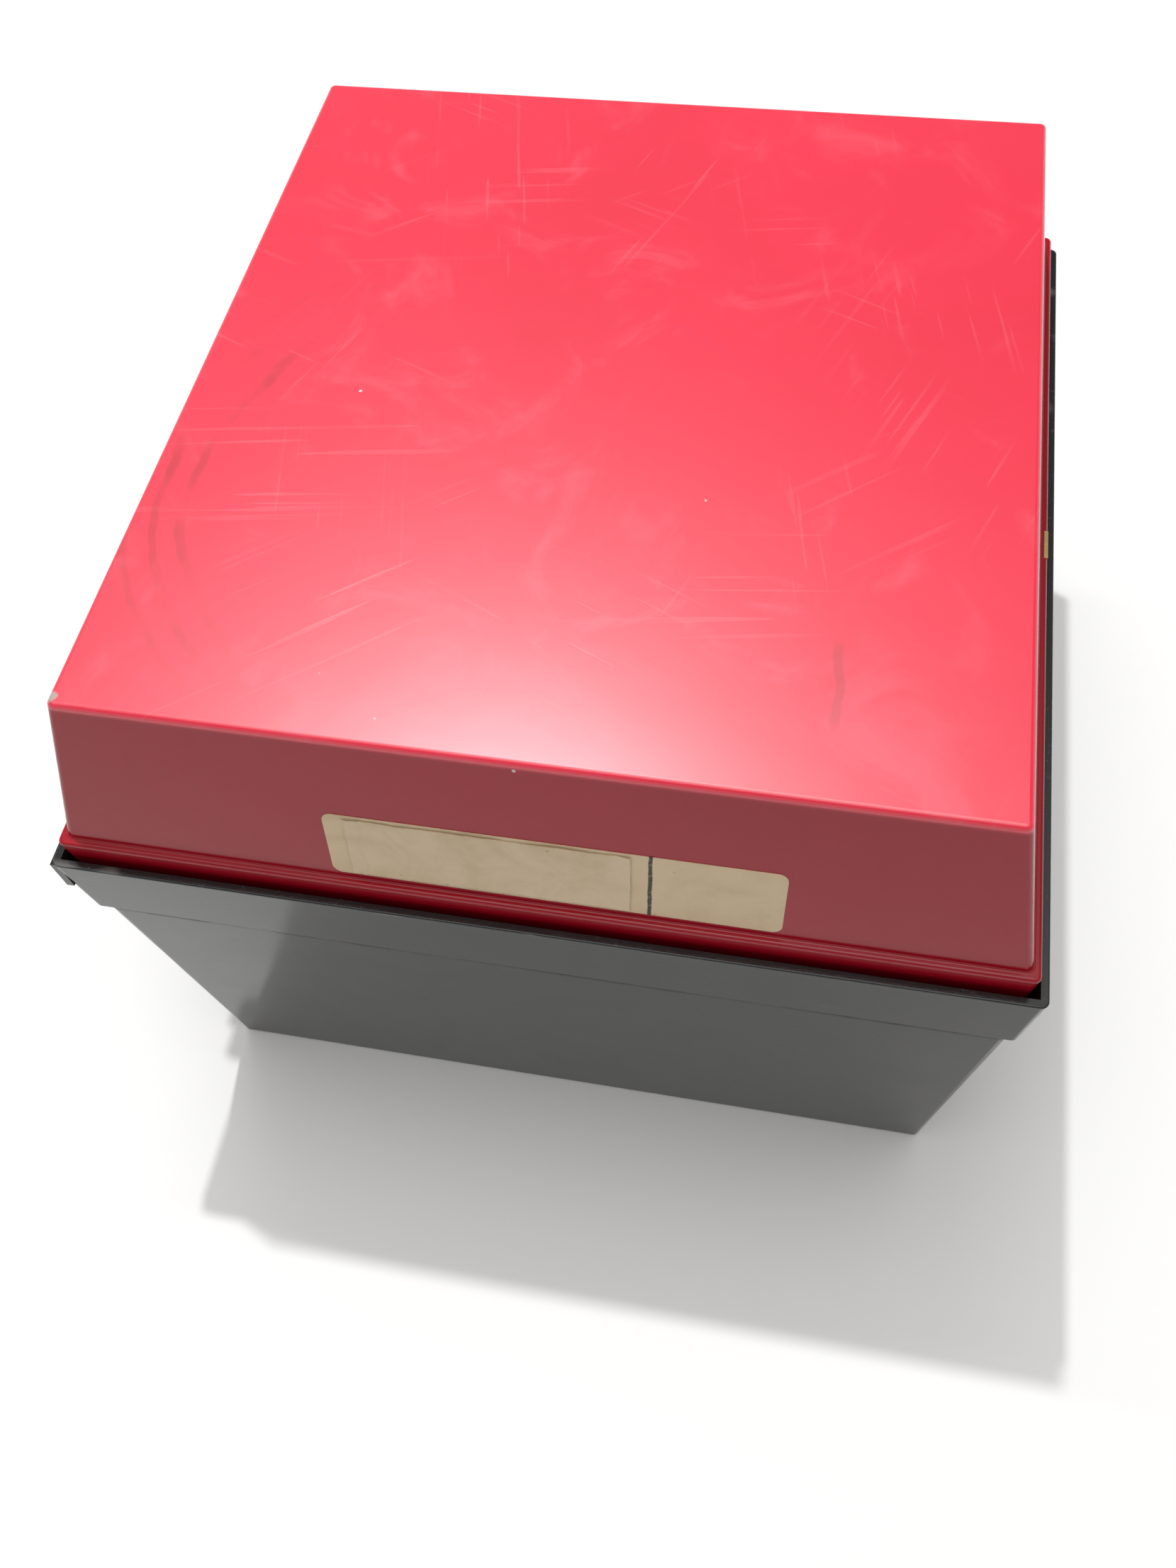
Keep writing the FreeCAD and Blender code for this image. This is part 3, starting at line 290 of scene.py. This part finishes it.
def paper(name, light, dark, divider):
    """Old stained paper with fibres and brown spots, and an inked line at x = divider, if any."""
    g = material_graph(name)
    spot_brown, ink_black = (0.30, 0.20, 0.10), (0.035, 0.03, 0.028)
    stain = g.span(g.noise(70.0, 5.0, 0.65, 1.2), 0.35, 0.75)
    colour = g.mix(stain, light, dark)
    grain = g.moved(g.place, turn=(0, 0, 12), scale=(900.0, 3200.0, 3200.0))
    fibres = g.noise(1.0, 4.0, 0.7, vector=grain)
    colour = g.mix(g.product(g.span(fibres, 0.5, 0.8), 0.25), colour, dark)
    spots = g.cells(420.0)
    rare = g.span(g.split(spots["Color"])[1], 0.86, 0.92)
    spot = g.product(g.span(spots["Distance"], 0.16, 0.05), rare)
    colour = g.mix(g.product(spot, 0.5), colour, spot_brown)
    if divider is not None:
        x = g.split(g.place)[0]
        wavy = g.math("MULTIPLY_ADD", g.noise(600.0), 0.0003, -0.00015)
        line = g.span(g.away(g.math("ADD", x, wavy), divider), 0.00042, 0.00022)
        ink = g.product(line, g.span(g.noise(1500.0), 0.25, 0.5, 0.6, 0.95))
        colour = g.mix(ink, colour, ink_black)
    g.shade(Base_Color=colour, Roughness=0.82, Sheen_Weight=0.1)
    g.bump(g.total(g.noise(260.0, 3.0), g.product(fibres, 0.5)), 0.00012, 0.7)
    return g.owner


def metal(name, colour, worn, rough, turn):
    """Drawn or rolled metal, with fine lines along it and some tarnish."""
    g = material_graph(name)
    drawn = g.moved(g.place, turn=turn, scale=(180.0, 6500.0, 6500.0))
    lines = g.noise(1.0, 3.0, 0.6, vector=drawn)
    tarnish = g.span(g.noise(240.0, 5.0, 0.65), 0.42, 0.75)
    g.shade(
        Base_Color=g.mix(tarnish, colour, worn),
        Metallic=1.0,
        Roughness=g.math("MULTIPLY_ADD", g.total(lines, tarnish), 0.12, rough),
    )
    g.bump(lines, 0.00002, 0.5)
    return g.owner


def wood(name, light, dark, plies):
    """Wood with its grain along x, and with layers on its upright edges where it is plywood."""
    g = material_graph(name)
    glue_brown = (0.22, 0.12, 0.05)
    rings = g.wave(9.0, 7.0, g.moved(g.place, scale=(1.0, 14.0, 14.0)), direction="Y")
    fine = g.noise(1.0, 4.0, 0.7, vector=g.moved(g.place, scale=(70.0, 1900.0, 1900.0)))
    colour = g.mix(g.math("MULTIPLY_ADD", rings, 0.6, g.product(fine, 0.4)), light, dark)
    if plies:
        normal = g.node("ShaderNodeNewGeometry").outputs["Normal"]
        upright = g.span(g.math("ABSOLUTE", g.split(normal)[2]), 0.5, 0.2)
        layers = g.span(g.wave(310.0, 0.4, direction="Z"), 0.35, 0.6)
        colour = g.mix(g.product(upright, layers), colour, glue_brown)
    g.shade(Base_Color=colour, Roughness=g.span(fine, 0.3, 0.7, 0.45, 0.65))
    g.bump(g.total(fine, g.product(rings, 0.4)), 0.00006, 0.6)
    return g.owner


def cloth(name, stripe_a, stripe_b, stripes, threads, sheen):
    """Plain weave on the piece's own map: across it in u, along it in v."""
    g = material_graph(name)
    soil_and_weave_shade = (0.04, 0.035, 0.05)
    u, v, _ = g.split(g.node("ShaderNodeUVMap").outputs[0])
    band = g.math("FRACT", g.product(u, stripes))
    colour = g.mix(g.span(g.away(band, 0.5), 0.24, 0.26), stripe_a, stripe_b)
    over, under = (
        g.math("SINE", g.product(way, count * 2 * math.pi)) for way, count in zip((u, v), threads)
    )
    weave = g.math("MULTIPLY_ADD", g.product(over, under), 0.5, 0.5)
    # Soil at random, and painted shade in the dips of the weave, darken the cloth
    soil = g.math("ADD", g.span(g.noise(55.0, 4.0, 0.6), 0.3, 0.7, 0.0, 0.28), 0.2)
    colour = g.mix(g.math("MULTIPLY_ADD", weave, -0.2, soil), colour, soil_and_weave_shade)
    g.shade(Base_Color=colour, Roughness=0.9, Sheen_Weight=sheen, Sheen_Roughness=0.4)
    g.bump(g.total(weave, g.product(g.noise(1400.0), 0.5)), 0.00012, 0.8)
    return g.owner


def felt(name, light, dark, fuzz):
    g = material_graph(name)
    tangle = g.noise(fuzz, 6.0, 0.75, 2.0)
    cloud = g.noise(90.0, 4.0)
    share = g.math("MULTIPLY_ADD", g.span(tangle, 0.3, 0.7), 0.7, g.product(cloud, 0.3))
    g.shade(
        Base_Color=g.mix(share, light, dark),
        Roughness=0.95,
        Sheen_Weight=0.5,
        Sheen_Roughness=0.5,
    )
    g.bump(g.total(tangle, g.noise(fuzz * 3.0, 2.0)), 0.0009, 1.0)
    return g.owner


def painted(name, colour, worn, rough, coat):
    """Brushed and varnished paint. Gives its graph and its colour."""
    g = material_graph(name)
    brushed = g.moved(g.place, turn=(20, 0, 30), scale=(90.0, 90.0, 900.0))
    strokes = g.noise(1.0, 4.0, 0.6, vector=brushed)
    tone = g.mix(g.span(strokes, 0.35, 0.7), colour, worn)
    g.shade(Base_Color=tone, Roughness=rough, Coat_Weight=coat, Coat_Roughness=0.12)
    g.bump(g.total(strokes, g.noise(300.0, 3.0)), 0.00008, 0.5)
    return g, tone


def painted_face():
    """Plain painted features on the turned head: cheeks, a mouth and brows."""
    g, tone = painted("head_paint", (0.80, 0.46, 0.30), (0.72, 0.39, 0.25), 0.34, 0.3)
    cheek_pink, mouth_red, brow_brown = (0.75, 0.12, 0.10), (0.36, 0.02, 0.02), (0.06, 0.03, 0.02)
    x, y, z = g.split(g.place)
    front = g.span(y, -0.004, -0.010)
    side = g.math("ABSOLUTE", x)

    def ring(at_x, at_z, radius, half):
        """A round line on each half of the face, or a spot where the radius is nil."""
        across = g.math("POWER", g.math("SUBTRACT", side, at_x), 2.0)
        up = g.math("POWER", g.math("SUBTRACT", z, at_z), 2.0)
        off_line = g.away(g.math("SQRT", g.math("ADD", across, up)), radius)
        uneven = g.math("MULTIPLY_ADD", g.noise(500.0), 0.0004, -0.0002)
        return g.span(g.math("ADD", off_line, uneven), half, half * 0.6)

    cheek = g.product(ring(0.0150, HEAD_CENTRE - 0.0065, 0.0, 0.0075), 0.55)
    below_corners = g.span(z, HEAD_CENTRE - 0.0085, HEAD_CENTRE - 0.0095)
    mouth = g.product(ring(0.0, HEAD_CENTRE - 0.0030, 0.0125, 0.0010), below_corners)
    above_eyes = g.span(z, HEAD_CENTRE + 0.0085, HEAD_CENTRE + 0.0095)
    brow = g.product(ring(0.0090, HEAD_CENTRE + 0.0055, 0.0056, 0.0007), above_eyes)
    for feature, colour in ((cheek, cheek_pink), (mouth, mouth_red), (brow, brow_brown)):
        tone = g.mix(g.product(feature, front), tone, colour)
    g.shade(Base_Color=tone)
    return g.owner


def painted_nose():
    return painted("nose_paint", (0.60, 0.015, 0.012), (0.48, 0.010, 0.010), 0.16, 0.6)[0].owner


def black_button():
    g = material_graph("eye_black")
    haze = g.noise(900.0, 4.0)
    g.shade(
        Base_Color=g.mix(haze, (0.006, 0.006, 0.007), (0.02, 0.018, 0.018)),
        Roughness=g.span(haze, 0.3, 0.7, 0.08, 0.2),
        Coat_Weight=0.6,
    )
    g.bump(haze, 0.00003, 0.4)
    return g.owner


def dress(material, *names):
    """Gives CAD nodes their material."""
    for name in names:
        mesh = nodes[name].data
        mesh.materials.clear()
        mesh.materials.append(material)


steel = metal("bright_steel", (0.62, 0.62, 0.64), (0.42, 0.41, 0.40), 0.20, (0, 90, 0))
spring_steel = metal("spring_steel", (0.45, 0.45, 0.48), (0.22, 0.21, 0.21), 0.28, (0, 0, 0))
brass = metal("rolled_brass", (0.80, 0.58, 0.26), (0.50, 0.33, 0.14), 0.24, (0, 0, 90))
beech = wood("beech", (0.62, 0.42, 0.24), (0.46, 0.28, 0.14), False)
plywood = wood("birch_ply", (0.66, 0.50, 0.31), (0.52, 0.36, 0.20), True)
label_divider = 0.0202
label_paper = paper("label_paper", (0.80, 0.63, 0.42), (0.70, 0.53, 0.33), label_divider)
dress(red_plastic(), "lid_shell")
dress(dark_plastic(), "base_shell")
dress(steel, "hinge_pin_front", "hinge_pin_rear", "board_screws", "neck_screw")
dress(steel, "spring_clips_lower", "spring_clips_upper")
dress(spring_steel, "main_spring")
dress(brass, "catch_keeper", "catch_leaf", "catch_rivets")
dress(label_paper, "label_backing")
dress(plywood, "spring_board", "body_disc")
dress(beech, "sleeve_hoop_lower", "sleeve_hoop_upper", "neck_dowel")
dress(painted_face(), "head")
dress(painted_nose(), "nose")
dress(black_button(), "eyes")


# Soft pieces
def wobble(x, y, z):
    """Smooth noise at a point."""
    return noise.noise(Vector((x, y, z)))


def wobble_round(angle, scale, level):
    """Smooth noise that joins up round a ring."""
    return wobble(math.cos(angle) * scale, math.sin(angle) * scale, level)


def on_ring(radius, angle, height):
    return Vector((radius * math.cos(angle), radius * math.sin(angle), height))


def add_piece(name, mesh, material):
    mesh.materials.append(material)
    mesh.polygons.foreach_set("use_smooth", [True] * len(mesh.polygons))
    piece = bpy.data.objects.new(name, mesh)
    bpy.context.scene.collection.objects.link(piece)
    return piece


def surface(name, point, across, along, closed, material):
    """A sheet through point(u, v), with u round or across it and v along it, both from 0 to 1."""
    mesh = bpy.data.meshes.new(name)
    columns = across if closed else across + 1
    corners = [point(i / across, j / along) for j in range(along + 1) for i in range(columns)]
    faces = []
    for j in range(along):
        for i in range(across):
            a, b = j * columns + i, j * columns + (i + 1) % columns
            faces.append((a, b, b + columns, a + columns))
    mesh.from_pydata(corners, [], faces)
    uv = mesh.uv_layers.new(name="UVMap")
    for j in range(along):
        for i in range(across):
            first = mesh.polygons[j * across + i].loop_start
            for step, (du, dv) in enumerate(((0, 0), (1, 0), (1, 1), (0, 1))):
                uv.data[first + step].uv = ((i + du) / across, (j + dv) / along)
    return add_piece(name, mesh, material)


def thicken(piece, thickness, offset=0.0):
    """Gives a sheet its thickness: half to each side, or all outwards where the offset is 1."""
    solid = piece.modifiers.new("thickness", "SOLIDIFY")
    solid.thickness = thickness
    solid.offset = offset
    bpy.context.view_layer.update()
    graph = bpy.context.evaluated_depsgraph_get()
    made = bpy.data.meshes.new_from_object(piece.evaluated_get(graph))
    piece.modifiers.clear()
    piece.data = made
    return piece


def make_label_strip():
    """The pasted strip: uneven cut edges that lift a little, and a crease near its left end."""
    wall_run, wall_rise = 6.9, 31.3
    lean = Vector((0, wall_run, wall_rise)).normalized()
    out = Vector((0, -wall_rise, wall_run)).normalized()
    wall_foot, margin, stand_off = Vector((-0.0283, -0.0859, 0.0973)), 0.0020, 0.00018
    corner = wall_foot + lean * margin + out * stand_off
    length, height, thickness = 0.0455, 0.0128, 0.00012
    rise, raggedness, ripple_height = 0.00016, 0.00030, 0.00005
    edge_share, end_share = 0.28, 0.05
    crease_place, crease_width, crease_height = 0.0021, 0.00028, 0.00022

    def point(u, v):
        along, up = length * u, height * v
        edge = max(0.0, abs(2 * v - 1) - (1 - edge_share)) / edge_share
        end = max(0.0, 1 - min(u, 1 - u) / end_share)
        wander = wobble(along * 160, 3.0 + round(v), 0) + 0.5 * wobble(along * 520, 9.0, v)
        up += raggedness * wander * (edge if v > 0.5 else 0.7 * edge)
        along += raggedness * end * wobble(u, up * 420, 5.0) * (1 if u > 0.5 else -1)
        lift = rise * edge * (0.6 + 0.8 * wobble(along * 130, 1.0, v * 2))
        lift += rise * end * (0.8 + wobble(1.0, up * 260, u))
        fold = (along - crease_place - 0.0004 * math.sin(up * 700)) / crease_width
        crease = crease_height * math.exp(-(fold**2))
        ripple = abs(ripple_height * wobble(along * 190, up * 320, 2.0))
        return corner + Vector((along, 0, 0)) + lean * up + out * (max(0.0, lift) + crease + ripple)

    material = paper("strip_paper", (0.80, 0.64, 0.44), (0.68, 0.52, 0.33), None)
    piece = thicken(surface("label_strip_paper", point, 220, 56, False, material), thickness, 1.0)
    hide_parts("label_strip")
    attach(piece, "lid")


def make_sleeve():
    """A striped tube in soft round folds, drawn in by small gathers."""
    low, high = reach("sleeve")
    hem, slack = 0.00035, 0.0005
    foot, top = low.z + hem, high.z - hem
    inner, outer = 0.0375, high.x - slack
    half_folds, gathers = 17, 44
    sag_depth, gather_depth, thickness = 0.0012, 0.0007, 0.0005

    def point(u, v):
        angle, fold = 2 * math.pi * u, half_folds * v
        swing = math.cos(math.pi * fold)
        round_swing = math.copysign(abs(swing) ** 0.8, swing)
        radius = (inner + outer) / 2 + (outer - inner) / 2 * round_swing
        sag = 0.5 + 0.5 * wobble_round(angle, 2.2, fold * 0.6)
        radius -= sag_depth * sag * (swing > 0) * min(1.0, 4 * v, 4 * (1 - v))
        drawn = math.sin(gathers * angle + 5 * wobble_round(angle, 3, fold))
        radius += gather_depth * drawn * (0.55 - 0.45 * swing) * min(1.0, 6 * v, 6 * (1 - v))
        return on_ring(radius, angle, foot + (top - foot) * v)

    blue, cream = (0.045, 0.13, 0.36), (0.66, 0.60, 0.46)
    material = cloth("sleeve_stripes", blue, cream, 16, (720, 400), 0.3)
    piece = thicken(surface("sleeve_cloth", point, 264, half_folds * 8, True, material), thickness)
    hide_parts("sleeve")
    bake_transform(piece)


def make_ruff():
    """Two pleated layers gathered at the neck, in one strip."""
    high = reach("ruff")[1]
    neck, edge = reach("neck_dowel")[1].x + 0.0018, high.x - 0.0008
    lower_level, upper_level = high.z - 0.0036, high.z - 0.0013
    pinch, droop_start, droop_depth = 0.0009, 0.0300, 0.0019
    pleats, least_depth, more_depth, thickness = 26, 0.00015, 0.00105, 0.0004

    def point(u, v):
        angle = 2 * math.pi * u
        upper = v > 0.5
        out = abs(2 * v - 1)
        radius = neck + (edge - neck) * out
        level = upper_level - pinch * (1 - out) if upper else lower_level + pinch * (1 - out)
        droop = max(0.0, (radius - droop_start) / (edge - droop_start))
        level -= droop_depth * droop * droop
        depth = least_depth + more_depth * min(1.0, out * 1.3)
        shift = 0.0 if upper else math.pi
        uneven = 0.5 * wobble_round(angle, 3, 2.0 if upper else 7.0)
        return on_ring(radius, angle, level + depth * math.sin(pleats * angle + shift + uneven))

    cream, warm_cream = (0.80, 0.74, 0.60), (0.76, 0.70, 0.56)
    material = cloth("ruff_cotton", cream, warm_cream, 52, (900, 260), 0.25)
    piece = thicken(surface("ruff_cloth", point, pleats * 14, 36, True, material), thickness)
    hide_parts("ruff")
    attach(piece, "jack")


def make_cap():
    """A felt cone with a rolled brim, softly dented and with a seam down the back."""
    low, high = reach("cap")
    foot = low.z + 0.0022
    height = high.z - foot
    brim, roll, tip, thickness = 0.0244, 0.0020, 0.0030, 0.0006
    roll_share, cone_start, flare = 0.42, 0.08, 0.0009
    dent_depth, seam_height, seam_half_angle = 0.00035, 0.0004, 0.12

    def point(u, v):
        angle = 2 * math.pi * u
        if v < roll_share:
            roll_angle = math.radians(-160 + 250 * v / roll_share)
            return on_ring(
                brim + roll * math.cos(roll_angle), angle, foot + roll * math.sin(roll_angle)
            )
        rise = (v - roll_share) / (1 - roll_share)
        radius = brim + (tip - brim) * (cone_start + (1 - cone_start) * rise)
        radius += flare * (1 - rise) * (1 - cone_start)
        radius += dent_depth * wobble_round(angle, 1.6, rise * 3) * math.sin(math.pi * rise)
        off_seam = min(abs(angle - math.pi / 2), seam_half_angle) / seam_half_angle
        radius += seam_height * (1 - off_seam) * (1 - off_seam)
        return on_ring(radius, angle, foot + roll + (height - roll - 0.0004) * rise)

    material = felt("cap_felt", (0.045, 0.25, 0.15), (0.015, 0.12, 0.07), 900.0)
    piece = thicken(surface("cap_felt", point, 128, 60, True, material), thickness)
    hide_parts("cap")
    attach(piece, "jack")


def make_bobble():
    """A tufted wool ball, flat where it sits on the cap."""
    foot = reach("cap_bobble")[0].z
    centre, radius, seat = Vector((0, 0, foot + 0.0045)), 0.0055, foot + 0.0003
    mesh = bpy.data.meshes.new("bobble_wool")
    ball = bmesh.new()
    bmesh.ops.create_icosphere(ball, subdivisions=6, radius=1.0)
    for vertex in ball.verts:
        way = vertex.co.normalized()
        tuft = noise.cell(way * 9) * 0.5 + noise.noise(way * 14) * 0.6
        spike = abs(noise.noise(way * 32))
        place = centre + way * radius * (0.82 + 0.10 * tuft + 0.24 * spike)
        place.z = max(place.z, seat)
        vertex.co = place
    ball.to_mesh(mesh)
    ball.free()
    material = felt("bobble_wool", (0.90, 0.60, 0.08), (0.66, 0.38, 0.03), 1600.0)
    piece = add_piece("bobble_wool", mesh, material)
    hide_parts("cap_bobble")
    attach(piece, "jack")


make_label_strip()
make_sleeve()
make_ruff()
make_cap()
make_bobble()


# Table, light and camera
def make_table():
    half, drop = 4.0, 0.00005
    corners = [(-half, -half, 0), (half, -half, 0), (half, half, 0), (-half, half, 0)]
    mesh = bpy.data.meshes.new("table")
    mesh.from_pydata(corners, [], [(0, 1, 2, 3)])
    g = material_graph("table_white")
    tone = g.mix(g.noise(6.0, 3.0), (0.96, 0.96, 0.96), (0.985, 0.985, 0.98))
    g.shade(Base_Color=tone, Roughness=0.6)
    mesh.materials.append(g.owner)
    table = bpy.data.objects.new("table", mesh)
    table.location.z = -drop
    bpy.context.scene.collection.objects.link(table)


def make_light(name, place, target, size, power):
    data = bpy.data.lights.new(name, "AREA")
    data.shape = "ELLIPSE"
    data.size, data.size_y = size
    data.energy = power
    lamp = bpy.data.objects.new(name, data)
    back = (Vector(place) - Vector(target)).normalized()
    across = Vector((0, 1, 0)).cross(back).normalized()
    turn = Matrix((across, back.cross(across), back)).transposed().to_4x4()
    lamp.matrix_world = Matrix.Translation(place) @ turn
    bpy.context.scene.collection.objects.link(lamp)


def make_surroundings():
    """A dim room with a glow overhead, which looks pale along the horizon."""
    room_level, side_glow, ceiling_glow, horizon = 0.08, 0.15, 2.6, 0.92
    world = bpy.data.worlds.new("room")
    bpy.context.scene.world = world
    g = Graph(world, "BACKGROUND", "Generated")
    x, _, z = g.split(g.place)
    glow = g.math("MULTIPLY_ADD", g.math("POWER", x, 2.0), side_glow, room_level)
    glow = g.math("MULTIPLY_ADD", g.math("POWER", z, 8.0), ceiling_glow, glow)
    ray = g.node("ShaderNodeLightPath").outputs
    shine = g.math("MAXIMUM", ray["Is Glossy Ray"], ray["Is Transmission Ray"])
    seen = g.math("MAXIMUM", ray["Is Camera Ray"], shine)
    pale = g.product(seen, g.span(z, 0.48, 0.30, 0.0, horizon))
    g.shade(Color=(1.0, 0.99, 0.97), Strength=g.math("MAXIMUM", glow, pale))


def make_camera():
    """The photograph's camera, from the box's corners in it."""
    photo_height, focal_pixels, sensor = 2212.0, 1888.0, 36.0
    place = (0.0377, -0.1743, 0.2907)
    right = Vector((0.982184, 0.179006, -0.057201))
    up = Vector((-0.125237, 0.850434, 0.510958))
    data = bpy.data.cameras.new("camera")
    data.sensor_width = sensor
    data.lens = sensor * focal_pixels / photo_height
    data.clip_start = 0.01
    camera = bpy.data.objects.new("camera", data)
    turn = Matrix((right, up, right.cross(up))).transposed().to_4x4()
    camera.matrix_world = Matrix.Translation(place) @ turn
    bpy.context.scene.collection.objects.link(camera)
    bpy.context.scene.camera = camera


make_table()
make_surroundings()
lamp_place, lamp_target = (-0.194, 0.306, 1.118), (0, 0, 0.06)
make_light("bulb", lamp_place, lamp_target, size=(0.03, 0.03), power=5.4)
make_light("tube", lamp_place, lamp_target, size=(0.60, 0.03), power=1.6)
make_camera()
bpy.context.scene.view_settings.view_transform = "Standard"
